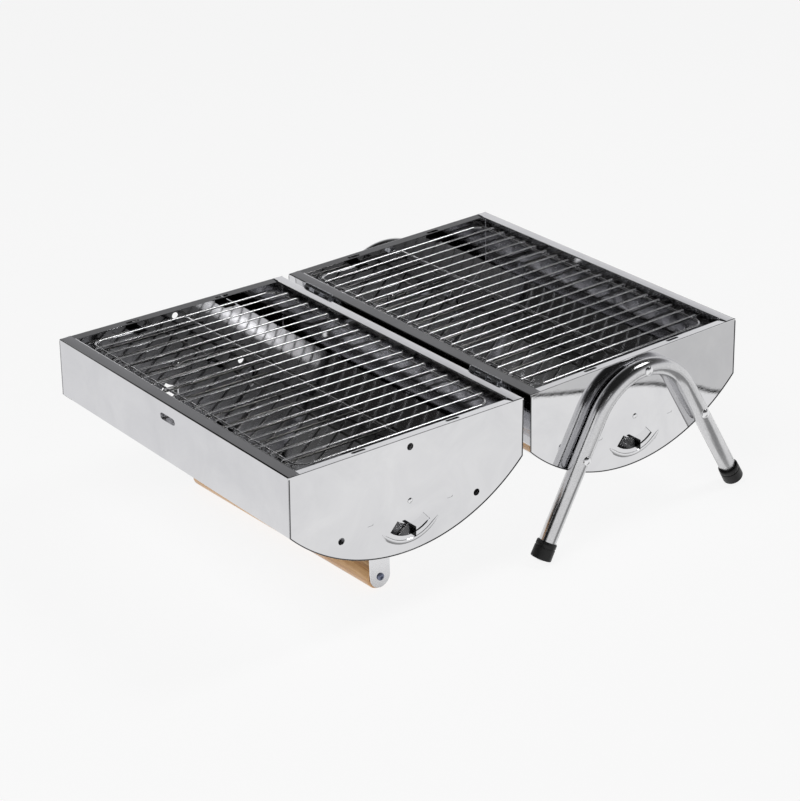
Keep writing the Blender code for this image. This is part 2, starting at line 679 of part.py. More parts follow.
def handle_strap(name, parent, side):
    """Flat steel strap: foot under the belly, round end over the grip's end."""
    spot = tuple(grip_end(side).yz)
    inner = side * (HANDLE_HALF + GAP)
    outer = side * (HANDLE_HALF + GAP + STRAP_SHEET)
    top = belly_at(0) - GAP
    half = STRAP_WIDTH / 2
    tongue = [(-half, top - 0.0008), *arc(spot, half, math.pi, 2 * math.pi, 10), (half, top - 0.0008)]
    bm = bmesh.new()
    prism(bm, tongue, *sorted((inner, outer)))
    body = place(name, bm, ZINC, parent)
    foot = bmesh.new()
    x0, x1 = sorted((outer, side * (HANDLE_HALF - STRAP_FOOT)))
    wide = math.asin(half / (BELLY_RADIUS + GAP))
    seat = arc((0, BELLY_CENTRE), BELLY_RADIUS + GAP, -math.pi / 2 - wide, -math.pi / 2 + wide, 4)
    under = [(y, z - STRAP_SHEET) for y, z in reversed(seat)]
    prism(foot, seat + under, x0, x1)
    combine(body, place("foot_" + name, foot, None, parent, smooth=False), "UNION")
    cuts = bmesh.new()
    rod(cuts, spot, STRAP_HOLE, min(inner, outer) - 0.002, max(inner, outer) + 0.002, 12)
    bolt_x = side * (HANDLE_HALF - STRAP_BOLT_IN)
    rod(cuts, (bolt_x, 0), STRAP_HOLE, top - 0.004, top + 0.004, 12, "Z")
    combine(body, place("cut_" + name, cuts, None, parent, smooth=False), "DIFFERENCE")
    return body


def handle_grip(parent):
    """Turned wooden grip with a pilot hole in each end."""
    edge = 0.0015
    deep = GRIP_HALF - PILOT_DEPTH
    profile = [(deep, 0), (deep, STRAP_HOLE), (GRIP_HALF, STRAP_HOLE),
               (GRIP_HALF, HANDLE_RADIUS - edge), (GRIP_HALF - edge, HANDLE_RADIUS)]
    profile = profile + [(-a, r) for a, r in reversed(profile)]
    bm = bmesh.new()
    turned(bm, profile, (0, 0), 24)
    grip = place("handle_grip", bm, WOOD, parent)
    grip_place(grip)
    return grip


def handle_screw(name, parent, side):
    """Pan-head screw through the strap into the grip's end, with a cross recess."""
    face = HANDLE_HALF + 2 * GAP + STRAP_SHEET
    profile = [(HANDLE_HALF - 0.018, 0), (HANDLE_HALF - 0.016, 0.0019), (face, 0.0019), (face, 0.0042),
               (face + 0.0010, 0.0041), (face + 0.0020, 0.0030), (face + 0.0024, 0)]
    bm = bmesh.new()
    turned(bm, [(side * a, r) for a, r in profile], (0, 0), 12)
    screw = place(name, bm, ZINC, parent)
    grip_place(screw)
    x0, x1 = sorted((side * (face + 0.0012), side * (face + 0.0040)))
    for key, wide, tall in (("a", 0.0020, 0.0004), ("b", 0.0004, 0.0020)):
        slot = bmesh.new()
        block(slot, (x0, -wide, -tall), (x1, wide, tall))
        tool = place(f"slot_{key}_{name}", slot, None, parent, smooth=False)
        grip_place(tool)
        combine(screw, tool, "DIFFERENCE")
    return screw


def strap_bolt(name, parent, side):
    """Bolt that holds a strap's foot to the belly: dome head inside the bowl, end outside."""
    x = side * (HANDLE_HALF - STRAP_BOLT_IN)
    base = belly_at(0)
    profile = [(base - STRAP_SHEET - 0.0030, 0), (base - STRAP_SHEET - 0.0030, 0.0019),
               (base + SHEET + GAP, 0.0019), (base + SHEET + GAP, 0.0042),
               (base + SHEET + 0.0016, 0.0034), (base + SHEET + 0.0024, 0)]
    bm = bmesh.new()
    turned(bm, profile, (0, 0), 12)
    for v in bm.verts:
        v.co = Vector((x + v.co.y, v.co.z, v.co.x))
    return place(name, bm, ZINC, parent)


def lid_handle(parent):
    handle_grip(parent)
    for word, side in (("near", 1), ("far", -1)):
        handle_strap(f"handle_strap_{word}", parent, side)
        handle_screw(f"handle_screw_{word}", parent, side)
        strap_bolt(f"strap_bolt_{word}", parent, side)


# ---- latch on the base bowl's free wall ----
def latch(parent):
    """Riveted bracket with a swinging hook that catches the lid's slot when closed."""
    y, z = HALF_D + LATCH_PIVOT[0], LATCH_PIVOT[1]
    wall = HALF_D + GAP
    bm = bmesh.new()
    half, low, high = BRACKET
    block(bm, (-half, wall, z + low), (half, wall + LATCH_SHEET, z + high))
    bracket = place("latch_bracket", bm, STEEL, parent)
    offset, radius, thick = LATCH_EAR
    root = wall + LATCH_SHEET / 2
    for k, x in enumerate((-offset, offset)):
        ear = bmesh.new()
        nose = arc((y, z), radius, -math.pi / 2, math.pi / 2, 6)
        outline = [(root, z - radius), *nose, (root, z + radius)]
        prism(ear, outline, x - thick, x + thick)
        combine(bracket, place(f"ear_{k}_latch_bracket", ear, None, parent, smooth=False), "UNION")
    cuts = bmesh.new()
    rod(cuts, (y, z), LATCH_BORE, -0.03, 0.03, 12)
    combine(bracket, place("cut_latch_bracket", cuts, None, parent, smooth=False), "DIFFERENCE")
    holes = bmesh.new()
    rivet_x, rivet_drop = LATCH_RIVET
    for x in (-rivet_x, rivet_x):
        rod(holes, (x, z + rivet_drop), LATCH_HOLE, wall - 0.002, wall + 0.004, 12, "Y")
    combine(bracket, place("holes_latch_bracket", holes, None, parent, smooth=False), "DIFFERENCE")
    pin = bmesh.new()
    profile = [(-0.0204, 0), (-0.0204, 0.0022), (-0.0191, 0.0022), (-0.0191, 0.0012),
               (0.0191, 0.0012), (0.0191, 0.0022), (0.0204, 0.0022), (0.0204, 0)]
    turned(pin, profile, (y, z), 12)
    place("latch_pin", pin, ZINC, parent)
    for word, x in (("near", rivet_x), ("far", -rivet_x)):
        latch_rivet(f"latch_rivet_{word}", parent, x, z + rivet_drop)
    latch_hook(parent, (0, y, z))


def latch_rivet(name, parent, x, z):
    """Rivet through the bracket and the long wall."""
    bm = bmesh.new()
    inner, outer = HALF_D - SHEET - GAP, HALF_D + 2 * GAP + LATCH_SHEET
    profile = [(inner - 0.0012, 0), (inner - 0.0008, 0.0026), (inner, 0.0030), (inner, 0.0015),
               (outer, 0.0015), (outer, 0.0024), (outer + 0.0008, 0.0018), (outer + 0.0008, 0)]
    turned(bm, profile, (0, 0), 12)
    for v in bm.verts:
        v.co = Vector((x + v.co.y, v.co.x, z + v.co.z))
    return place(name, bm, ZINC, parent)


def latch_hook(parent, pivot):
    """Hook hanging from the pin, tip turned out; it swings up and over to the lid."""
    reach = LATCH_REACH
    bm = bmesh.new()
    near, far = HOOK_STAND, HOOK_STAND + LATCH_SHEET
    path = [(far, -LATCH_SHEET), (far, -reach), (HOOK_TIP, -reach), (HOOK_TIP, -reach - LATCH_SHEET),
            (near, -reach - LATCH_SHEET), (near, -LATCH_SHEET)]
    prism(bm, path, -HOOK_HALF, HOOK_HALF)
    hook = place("latch_hook", bm, STEEL, parent, pivot)
    curl = bmesh.new()
    rod(curl, (0, 0), CURL_RADIUS, -HOOK_HALF, HOOK_HALF, 12)
    combine(hook, place("curl_latch_hook", curl, None, parent, pivot, False), "UNION")
    bore = bmesh.new()
    rod(bore, (0, 0), LATCH_BORE, -0.02, 0.02, 12)
    combine(hook, place("bore_latch_hook", bore, None, parent, pivot, False), "DIFFERENCE")
    return hook


def shell_cuts(lid):
    """Holes in a wrap sheet: latch slot and strap bolts in the lid, latch rivets in the base."""
    cuts = bmesh.new()
    if lid:
        prism(cuts, oblong((0, SLOT_HEIGHT), *SLOT), -HALF_D - 0.003, -HALF_D + 0.003, "Y")
        for side in (-1, 1):
            x = side * (HANDLE_HALF - STRAP_BOLT_IN)
            rod(cuts, (x, 0), STRAP_HOLE, belly_at(0) - 0.004, belly_at(0) + 0.004, 12, "Z")
    else:
        rivet_x, rivet_drop = LATCH_RIVET
        for x in (-rivet_x, rivet_x):
            spot = (x, LATCH_PIVOT[1] + rivet_drop)
            rod(cuts, spot, LATCH_HOLE, HALF_D - 0.003, HALF_D + 0.003, 12, "Y")
    return cuts


def main():
    for old in list(bpy.data.objects):
        bpy.data.objects.remove(old, do_unlink=True)
    axis = empty("hinge_axis", None, (0, Y_SHIFT, RIM_HEIGHT + PIN_RISE))
    base = empty("base_middle", axis, (0, BOWL_MIDDLE, -PIN_RISE))
    lid_axis = empty("lid_axis", axis, (0, 0, 0), -math.radians(LID_TILT))
    lid = empty("lid_middle", lid_axis, (0, -BOWL_MIDDLE, -PIN_RISE))
    shell("base_shell", base, shell_cuts(lid=False))
    bowl_fittings("base", base)
    base_legs(base)
    latch(base)
    shell("lid_shell", lid, shell_cuts(lid=True))
    bowl_fittings("lid", lid)
    lid_handle(lid)
    for word, centre in (("near", HINGE_CENTRE), ("far", -HINGE_CENTRE)):
        hinge_leaf(f"hinge_base_leaf_{word}", axis, centre, 1, (1, 3))
        hinge_leaf(f"hinge_lid_leaf_{word}", lid_axis, centre, -1, (0, 2, 4))
        hinge_pin(f"hinge_pin_{word}", axis, centre)


main()
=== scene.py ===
"""Folding twin-bowl barrel grill, opened flat: finished pieces and looks over the CAD frame."""
import math

import bmesh
import bpy
from mathutils import Matrix, Vector


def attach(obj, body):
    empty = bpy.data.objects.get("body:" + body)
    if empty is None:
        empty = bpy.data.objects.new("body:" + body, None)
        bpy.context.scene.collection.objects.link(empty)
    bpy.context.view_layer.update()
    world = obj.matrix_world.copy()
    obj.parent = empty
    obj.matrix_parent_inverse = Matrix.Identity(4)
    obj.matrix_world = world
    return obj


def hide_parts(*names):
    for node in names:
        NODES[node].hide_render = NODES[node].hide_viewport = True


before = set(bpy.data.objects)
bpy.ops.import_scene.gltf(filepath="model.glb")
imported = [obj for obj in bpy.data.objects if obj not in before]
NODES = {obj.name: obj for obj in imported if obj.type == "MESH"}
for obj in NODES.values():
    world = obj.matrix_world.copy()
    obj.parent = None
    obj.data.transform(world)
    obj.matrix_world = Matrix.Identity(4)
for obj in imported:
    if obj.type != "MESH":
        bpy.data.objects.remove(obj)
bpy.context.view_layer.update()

# ---- the frame's own dimensions, metres and radians ----
HALF_L = 0.210
HALF_D = 0.1455
RIM_HEIGHT = 0.1912
PIN_RISE = 0.002
Y_SHIFT = -0.0058
BOWL_MIDDLE = 0.150
LID_TILT = math.radians(1.57)
SHEET = 0.0008
GAP = 0.0003
RIM_REACH = HALF_L - SHEET - GAP    # half the length between the end panels

AXIS = Matrix.Translation((0, Y_SHIFT, RIM_HEIGHT + PIN_RISE))
BASE = AXIS @ Matrix.Translation((0, BOWL_MIDDLE, -PIN_RISE))
LID = AXIS @ Matrix.Rotation(-LID_TILT, 4, "X") @ Matrix.Translation((0, -BOWL_MIDDLE, -PIN_RISE))


# ---- node helpers ----
def new_material(name):
    """A material with its node tree and its one shader."""
    made = bpy.data.materials.new(name)
    made.use_nodes = True
    tree = made.node_tree
    return made, tree, tree.nodes["Principled BSDF"]


def add(tree, kind, **values):
    """A node with its input sockets set by name, spaces written as underscores."""
    node = tree.nodes.new(kind)
    for key, value in values.items():
        node.inputs[key.replace("_", " ")].default_value = value
    return node


def coords(tree, scale=(1, 1, 1), turn=(0, 0, 0)):
    """Object coordinates, stretched and turned."""
    source = tree.nodes.new("ShaderNodeTexCoord")
    mapping = tree.nodes.new("ShaderNodeMapping")
    mapping.inputs["Scale"].default_value = scale
    mapping.inputs["Rotation"].default_value = turn
    tree.links.new(source.outputs["Object"], mapping.inputs["Vector"])
    return mapping.outputs["Vector"]


def noise(tree, vector, scale, detail=3.0, rough=0.5, warp=0.0):
    node = add(tree, "ShaderNodeTexNoise", Scale=scale, Detail=detail, Roughness=rough, Distortion=warp)
    tree.links.new(vector, node.inputs["Vector"])
    return node.outputs["Fac"]


def spread(tree, value, low, high, a=0.3, b=0.7):
    """Map the range a..b of a value to low..high."""
    node = tree.nodes.new("ShaderNodeMapRange")
    for key, number in zip(("From Min", "From Max", "To Min", "To Max"), (a, b, low, high)):
        node.inputs[key].default_value = number
    tree.links.new(value, node.inputs["Value"])
    return node.outputs["Result"]


def ramp(tree, value, stops):
    """Colour ramp of (position, colour) stops."""
    node = tree.nodes.new("ShaderNodeValToRGB")
    band = node.color_ramp
    while len(band.elements) < len(stops):
        band.elements.new(0.5)
    for element, (position, colour) in zip(band.elements, stops):
        element.position = position
        element.color = (*colour, 1)
    tree.links.new(value, node.inputs["Fac"])
    return node.outputs["Color"]


def mix(tree, share, a, b, blend="MIX"):
    """Mix two colours. Share, a and b are sockets or plain values."""
    node = tree.nodes.new("ShaderNodeMix")
    node.data_type = "RGBA"
    node.blend_type = blend
    for socket, value in ((node.inputs[0], share), (node.inputs[6], a), (node.inputs[7], b)):
        if isinstance(value, bpy.types.NodeSocket):
            tree.links.new(value, socket)
        else:
            socket.default_value = value if isinstance(value, float) else (*value, 1)
    return node.outputs[2]


def times(tree, *values):
    """Product of several sockets."""
    total = values[0]
    for value in values[1:]:
        node = tree.nodes.new("ShaderNodeMath")
        node.operation = "MULTIPLY"
        tree.links.new(total, node.inputs[0])
        tree.links.new(value, node.inputs[1])
        total = node.outputs["Value"]
    return total


def bump(tree, height, strength, distance, under=None):
    """Bump normal from a height, over another bump if one is given."""
    node = add(tree, "ShaderNodeBump", Strength=strength, Distance=distance)
    tree.links.new(height, node.inputs["Height"])
    if under:
        tree.links.new(under, node.inputs["Normal"])
    return node.outputs["Normal"]


# ---- materials ----
# near black: painted shade on the ledges inside the end panels, and the black of the shutters' levers
NEAR_BLACK = (0.02, 0.02, 0.02)
LEVER_START = (HALF_L + 0.0002, HALF_L + 0.0006)     # a shutter's lever stands outside its panel
# the ledges inside the panels, below the rim, are darkened with painted shade
LEDGE_START = (HALF_L - 0.0034, HALF_L - 0.0030)     # a ledge stands inside its panel
LEDGE_TOP = (-0.0028, -0.0024)                       # height under the rim


def polished_steel(name, brush="X", tone=1.0, rough=(0.03, 0.08), wave=0.10, scratch=0.04):
    """Mirror-polished sheet: faint waves, polishing lines along one axis, soft smudges."""
    made, tree, shader = new_material(name)
    plain = coords(tree)
    stretch = {"X": (1, 30, 30), "Y": (30, 1, 30)}[brush]
    lines = noise(tree, coords(tree, stretch), 60.0, 4.0, 0.6)
    waves = noise(tree, plain, 7.0, 1.0, 0.4)
    smudge = noise(tree, plain, 16.0, 5.0, 0.6, 0.6)
    light = ramp(tree, smudge, [(0.3, (0.66 * tone, 0.66 * tone, 0.675 * tone)),
                                (0.75, (0.74 * tone, 0.74 * tone, 0.75 * tone))])
    tree.links.new(light, shader.inputs["Base Color"])
    shader.inputs["Metallic"].default_value = 1.0
    gloss = mix(tree, 0.5, ramp(tree, smudge, [(0.25, (rough[0],) * 3), (0.8, (rough[1],) * 3)]),
                ramp(tree, lines, [(0.3, (rough[0],) * 3), (0.7, (rough[1],) * 3)]))
    tree.links.new(gloss, shader.inputs["Roughness"])
    fine = bump(tree, lines, scratch, 0.0002)
    tree.links.new(bump(tree, waves, wave, 0.004, fine), shader.inputs["Normal"])
    return made


def bowl_coords(tree, place):
    """Distance from the bowl's middle along X, and height over its rim."""
    inverse = place.inverted()
    found = coords(tree, turn=inverse.to_euler())
    found.node.inputs["Location"].default_value = inverse.translation
    split = tree.nodes.new("ShaderNodeSeparateXYZ")
    tree.links.new(found, split.inputs["Vector"])
    side = tree.nodes.new("ShaderNodeMath")
    side.operation = "ABSOLUTE"
    tree.links.new(split.outputs["X"], side.inputs[0])
    return side.outputs["Value"], split.outputs["Z"]


def blacken(tree, share):
    """Blacken a finished material's colour by a share between 0 and 1."""
    shader = tree.nodes["Principled BSDF"]
    light = shader.inputs["Base Color"].links[0].from_socket
    tree.links.new(mix(tree, share, light, NEAR_BLACK), shader.inputs["Base Color"])


def vent_steel(name):
    """Polished shutter whose lever, outside the end panel, is blackened."""
    made = polished_steel(name, "Y")
    tree = made.node_tree
    side = bowl_coords(tree, BASE)[0]
    blacken(tree, spread(tree, side, 0.0, 1.0, *LEVER_START))
    return made


def panel_steel(name, place):
    """End panel, mirror bright, with painted shade on the ledges that stick into the bowl."""
    made = polished_steel(name, "Y", 1.04, (0.002, 0.010), 0.10, 0.004)
    tree = made.node_tree
    side, height = bowl_coords(tree, place)
    inside = spread(tree, side, 1.0, 0.0, *LEDGE_START)
    below = spread(tree, height, 1.0, 0.0, *LEDGE_TOP)
    # painted shade: the ledges inside the bowl, under the rim, go near black
    blacken(tree, times(tree, inside, below))
    return made


def brushed_tube(name):
    """Satin tube: fine sparkling grain and soft clouds, greyer than the sheets."""
    made, tree, shader = new_material(name)
    grain = noise(tree, coords(tree), 1500.0, 3.0, 0.7)
    cloud = noise(tree, coords(tree), 55.0, 4.0, 0.6)
    speck = ramp(tree, grain, [(0.30, (0.50, 0.50, 0.51)), (0.70, (0.80, 0.80, 0.81))])
    shade = ramp(tree, cloud, [(0.30, (0.90, 0.90, 0.90)), (0.70, (1, 1, 1))])
    tree.links.new(mix(tree, 1.0, speck, shade, "MULTIPLY"), shader.inputs["Base Color"])
    shader.inputs["Metallic"].default_value = 1.0
    tree.links.new(spread(tree, grain, 0.09, 0.18), shader.inputs["Roughness"])
    tree.links.new(bump(tree, grain, 0.25, 0.0002), shader.inputs["Normal"])
    return made


def chromed_wire(name, colour, rough, pits):
    """Plated drawn wire: duller clouds and small plating pits."""
    made, tree, shader = new_material(name)
    specks = noise(tree, coords(tree), 900.0, 3.0, 0.6)
    cloud = noise(tree, coords(tree), 40.0, 3.0, 0.5)
    dull = tuple(c * 0.8 for c in colour)
    tree.links.new(ramp(tree, cloud, [(0.3, dull), (0.65, colour)]), shader.inputs["Base Color"])
    shader.inputs["Metallic"].default_value = 1.0
    tree.links.new(spread(tree, cloud, rough * 0.8, rough * 1.25), shader.inputs["Roughness"])
    tree.links.new(bump(tree, specks, pits, 0.0002), shader.inputs["Normal"])
    return made


def zinc_plate(name, colour=(0.62, 0.63, 0.66), rough=0.26):
    """Bright zinc plating with a faint spangle and tiny pits."""
    made, tree, shader = new_material(name)
    cloud = noise(tree, coords(tree), 220.0, 4.0, 0.6)
    pits = noise(tree, coords(tree), 2400.0, 2.0, 0.6)
    dull = tuple(c * 0.92 for c in colour)
    tree.links.new(ramp(tree, cloud, [(0.32, dull), (0.68, colour)]), shader.inputs["Base Color"])
    shader.inputs["Metallic"].default_value = 1.0
    tree.links.new(spread(tree, cloud, rough * 0.85, rough * 1.15), shader.inputs["Roughness"])
    tree.links.new(bump(tree, pits, 0.12, 0.0001), shader.inputs["Normal"])
    return made


def varnished_wood(name):
    """Pale orange dowel: long grain, darker growth lines, small pores, clear varnish."""
    made, tree, shader = new_material(name)
    along = coords(tree, (1.4, 22, 22))
    grain = noise(tree, along, 9.0, 5.0, 0.62, 0.8)
    rings = noise(tree, coords(tree, (0.5, 9, 9)), 14.0, 2.0, 0.4, 1.6)
    pores = noise(tree, coords(tree, (9, 260, 260)), 8.0, 2.0, 0.7)
    base = ramp(tree, grain, [(0.28, (0.46, 0.225, 0.085)), (0.5, (0.64, 0.365, 0.155)),
                              (0.72, (0.76, 0.485, 0.235))])
    lines = ramp(tree, rings, [(0.40, (1, 1, 1)), (0.49, (0.80, 0.72, 0.62)), (0.56, (1, 1, 1))])
    specks = ramp(tree, pores, [(0.30, (0.70, 0.58, 0.46)), (0.40, (1, 1, 1))])
    wood = mix(tree, 0.75, mix(tree, 0.8, base, lines, "MULTIPLY"), specks, "MULTIPLY")
    tree.links.new(wood, shader.inputs["Base Color"])
    tree.links.new(spread(tree, grain, 0.36, 0.52), shader.inputs["Roughness"])
    shader.inputs["Coat Weight"].default_value = 0.45
    shader.inputs["Coat Roughness"].default_value = 0.14
    tree.links.new(bump(tree, pores, 0.10, 0.0002), shader.inputs["Normal"])
    return made


def black_rubber(name):
    """Moulded rubber: fine matt grain, paler dust in the high spots."""
    made, tree, shader = new_material(name)
    grain = noise(tree, coords(tree), 1400.0, 3.0, 0.6)
    dust = noise(tree, coords(tree), 70.0, 4.0, 0.6)
    tone = ramp(tree, dust, [(0.3, (0.006, 0.006, 0.006)), (0.75, (0.016, 0.016, 0.016))])
    tree.links.new(tone, shader.inputs["Base Color"])
    tree.links.new(spread(tree, dust, 0.38, 0.55), shader.inputs["Roughness"])
    shader.inputs["Specular IOR Level"].default_value = 0.30
    tree.links.new(bump(tree, grain, 0.20, 0.0002), shader.inputs["Normal"])
    return made


LOOKS = {
    "mirror_steel": polished_steel("mirror_steel_sheet", "X", 1.05),
    "base_panel_steel": panel_steel("mirror_steel_base_panel", BASE),
    "lid_panel_steel": panel_steel("mirror_steel_lid_panel", LID),
    "tube_steel": brushed_tube("bright_tube"),
    # near-black steel as painted shade: the shadow gap at the seams and the dark reflection at the rolled
    # edges
    "painted_dark_line": polished_steel("painted_dark_line_steel", "Y", 0.14, (0.10, 0.20), 0.04),
    "strap_steel": polished_steel("bright_strap_steel", "X", 1.10, (0.02, 0.05), 0.08),
    "vent_steel": vent_steel("vent_shutter_steel"),
    "bright_bolt": zinc_plate("bright_bolt", (0.84, 0.84, 0.85), 0.09),
    "chromed_wire": chromed_wire("chromed_wire", (0.86, 0.86, 0.87), 0.10, 0.05),
    "coal_wire": chromed_wire("heat_dulled_wire", (0.30, 0.295, 0.29), 0.30, 0.20),
    "zinc_plate": zinc_plate("zinc_plate"),
    "dark_zinc": zinc_plate("blued_zinc", (0.20, 0.22, 0.30), 0.32),
    "varnished_wood": varnished_wood("varnished_wood"),
    "black_rubber": black_rubber("black_rubber"),
}


# ---- mesh helpers ----
def finish_piece(name, bm, body, look, stands_for, place, sharp=40):
    """Turn a bmesh in a local frame into a shaded piece that rides on a body."""
    bmesh.ops.recalc_face_normals(bm, faces=bm.faces)
    mesh = bpy.data.meshes.new(name)
    bm.to_mesh(mesh)
    bm.free()
    mesh.transform(place)
    mesh.shade_smooth()
    mesh.set_sharp_from_angle(angle=math.radians(sharp))
    mesh.materials.append(LOOKS[look])
    made = bpy.data.objects.new(name, mesh)
    bpy.context.scene.collection.objects.link(made)
    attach(made, body)
    if stands_for:
        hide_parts(*stands_for)
    return made


def arc(centre, radius, start, end, steps):
    """Points of a flat arc, both ends included."""
    turn = [start + (end - start) * i / steps for i in range(steps + 1)]
    return [(centre[0] + radius * math.cos(a), centre[1] + radius * math.sin(a)) for a in turn]


def rounded(points, radius, steps=5):
    """An open 3-D polyline with its inner corners rounded."""
    pts = [Vector(p) for p in points]
    out = [pts[0]]
    for before, corner, after in zip(pts, pts[1:], pts[2:]):
        a, b = (before - corner), (after - corner)
        reach = min(radius, a.length * 0.49, b.length * 0.49)
        start, end = corner + a.normalized() * reach, corner + b.normalized() * reach
        for i in range(steps + 1):
            t = i / steps
            out.append(start * (1 - t) ** 2 + corner * 2 * t * (1 - t) + end * t * t)
    out.append(pts[-1])
    return out


def tube(bm, path, radius, sides, closed=False):
    """A round wire or tube along a path, with small rounded ends."""
    pts = [Vector(p) for p in path]
    count = len(pts)
    tangents = []
    for i in range(count):
        before = pts[i] - pts[i - 1] if i or closed else pts[1] - pts[0]
        after = pts[(i + 1) % count] - pts[i] if i < count - 1 or closed else before
        tangents.append((before.normalized() + after.normalized()).normalized())
    side = tangents[0].orthogonal().normalized()
    rows = []
    for i, (point, tangent) in enumerate(zip(pts, tangents)):
        if i:
            side = tangents[i - 1].rotation_difference(tangent) @ side
        side = (side - tangent * side.dot(tangent)).normalized()
        other = tangent.cross(side)
        shares = [(0.0, 1.0)]
        if not closed and i == 0:
            shares = [(-0.55, 0.35), (-0.40, 0.75), (0.0, 1.0)]
        if not closed and i == count - 1:
            shares = [(0.0, 1.0), (0.40, 0.75), (0.55, 0.35)]
        for push, wide in shares:
            ring = []
            for k in range(sides):
                a = 2 * math.pi * k / sides
                offset = side * math.cos(a) + other * math.sin(a)
                ring.append(bm.verts.new(point + offset * radius * wide + tangent * radius * push))
            rows.append(ring)
    if closed:
        rows.append(rows[0])
    for a, b in zip(rows, rows[1:]):
        for k in range(sides):
            j = (k + 1) % sides
            bm.faces.new((a[k], a[j], b[j], b[k]))
    if not closed:
        bm.faces.new(rows[0])
        bm.faces.new(rows[-1])


def turned(bm, profile, sides, place=None):
    """Turn a profile of (distance along X, radius) about X, then place it."""
    rows = []
    for along, radius in profile:
        if radius < 1e-6:
            rows.append([bm.verts.new((along, 0, 0))])
            continue
        rows.append([bm.verts.new((along, radius * math.cos(a), radius * math.sin(a)))
                     for a in (2 * math.pi * k / sides for k in range(sides))])
    made = [v for row in rows for v in row]
    for a, b in zip(rows, rows[1:]):
        for i in range(sides):
            j = (i + 1) % sides
            if len(a) == 1:
                bm.faces.new((a[0], b[j], b[i]))
            elif len(b) == 1:
                bm.faces.new((a[i], a[j], b[0]))
            else:
                bm.faces.new((a[i], a[j], b[j], b[i]))
    if place:
        bmesh.ops.transform(bm, matrix=place, verts=made)


def outward(side, at):
    """A frame at a point whose X looks out of the near (+1) or far (-1) end."""
    turn = Matrix.Identity(4) if side > 0 else Matrix.Rotation(math.pi, 4, "Z")
    return Matrix.Translation(at) @ turn


ENDS = (("near", 1), ("far", -1))
BOWLS = (("base", BASE), ("lid", LID))

# ---- cooking and charcoal grates ----
GRATE_HALF = (0.189, 0.119)
GRATE_CORNER = 0.012
GRATE_PITCH = 0.0189
BAR_RADIUS = 0.0011
BAR_SHOWN = BAR_RADIUS * 0.88       # the finished bars are a little thinner than the CAD's
BAR_HEIGHT = -0.0032
BAR_HALF = 0.1255
BAR_BEND = 0.0024
RING_RADIUS = 0.0013
RING_HEIGHT = BAR_HEIGHT - BAR_RADIUS - RING_RADIUS + 0.0005
BAR_TIP = RING_HEIGHT - 0.0030 + BAR_RADIUS * 0.5
COAL_HALF = (0.197, 0.098)
COAL_CORNER = 0.015
COAL_PITCH = 0.028
COAL_HEIGHT = -0.0781
COAL_RUNNER = 0.050
COAL_RING_RADIUS = 0.0016
COAL_BAR_RADIUS = 0.0013
COAL_BAR_LIFT = 0.0022
COAL_OVERHANG = 0.001


def ring_path(half, corner, height, steps=8):
    """Closed rectangle with rounded corners."""
    path = []
    for k, (sx, sy) in enumerate(((1, 1), (-1, 1), (-1, -1), (1, -1))):
        centre = (sx * (half[0] - corner), sy * (half[1] - corner))
        path += arc(centre, corner, k * math.pi / 2, (k + 1) * math.pi / 2, steps)
    return [(x, y, height) for x, y in path]


def cooking_grate(bowl, place):
    """Round bars with turned-down ends over a ring and one middle runner."""
    bm = bmesh.new()
    tube(bm, ring_path(GRATE_HALF, GRATE_CORNER, RING_HEIGHT), RING_RADIUS, 14, closed=True)
    count = round(GRATE_HALF[0] / GRATE_PITCH) - 1
    for k in range(-count, count + 1):
        x = k * GRATE_PITCH
        path = [(x, BAR_HALF, BAR_TIP), (x, BAR_HALF, BAR_HEIGHT),
                (x, -BAR_HALF, BAR_HEIGHT), (x, -BAR_HALF, BAR_TIP)]
        tube(bm, rounded(path, BAR_BEND), BAR_SHOWN, 12)
    reach = GRATE_HALF[0]
    tube(bm, [(-reach, 0, RING_HEIGHT), (reach, 0, RING_HEIGHT)], RING_RADIUS, 14)
    node = f"{bowl}_cooking_grate"
    finish_piece(f"{bowl}_wire_cooking_grate", bm, node, "chromed_wire", (node,), place)


def charcoal_grate(bowl, place):
    """Straight bars on a ring and two runners."""
    bm = bmesh.new()
    tube(bm, ring_path(COAL_HALF, COAL_CORNER, COAL_HEIGHT), COAL_RING_RADIUS, 12, closed=True)
    count = int(COAL_HALF[0] / COAL_PITCH)
    reach, z = COAL_HALF[1] + COAL_OVERHANG, COAL_HEIGHT + COAL_BAR_LIFT
    for k in range(-count, count + 1):
        x = k * COAL_PITCH
        tube(bm, [(x, -reach, z), (x, reach, z)], COAL_BAR_RADIUS, 10)
    for y in (-COAL_RUNNER, COAL_RUNNER):
        tube(bm, [(-COAL_HALF[0], y, COAL_HEIGHT), (COAL_HALF[0], y, COAL_HEIGHT)], COAL_RING_RADIUS, 10)
    node = f"{bowl}_charcoal_grate"
    finish_piece(f"{bowl}_wire_charcoal_grate", bm, node, "coal_wire", (node,), place)


for bowl, place in BOWLS:
    cooking_grate(bowl, place)
    charcoal_grate(bowl, place)

# ---- legs, caps and bolts ----
TUBE_RADIUS = 0.0095
LEG_X = HALF_L + 0.0105
LEAN = math.radians(29.3)
LEG_APEX = -0.0108
LEG_BEND = 0.0715
FOOT_OFFSET = 0.1409
TUBE_INSET = 0.0035                 # the tube stops this far above the sole
CAP_RADIUS = 0.0115
CAP_EDGE = 0.0012
CAP_LENGTH = 0.019
CAP_PLAY = 0.0002                   # between the cap's mouth and the tube
CAP_SOLE = ((0, 0), (0.0, 0.0065), (0.0009, 0.0072))                                    # height, radius
CAP_GROOVE = ((0.0125, 0.0002), (0.0129, 0.0007), (0.0137, 0.0007), (0.0141, 0.0003))   # height, depth
CAP_MOUTH = ((CAP_LENGTH - 0.0007, 0.0004), (CAP_LENGTH, 0.0010))                       # height, depth
FOOT_LOW = RIM_HEIGHT - (CAP_RADIUS - CAP_EDGE) * math.sin(LEAN)
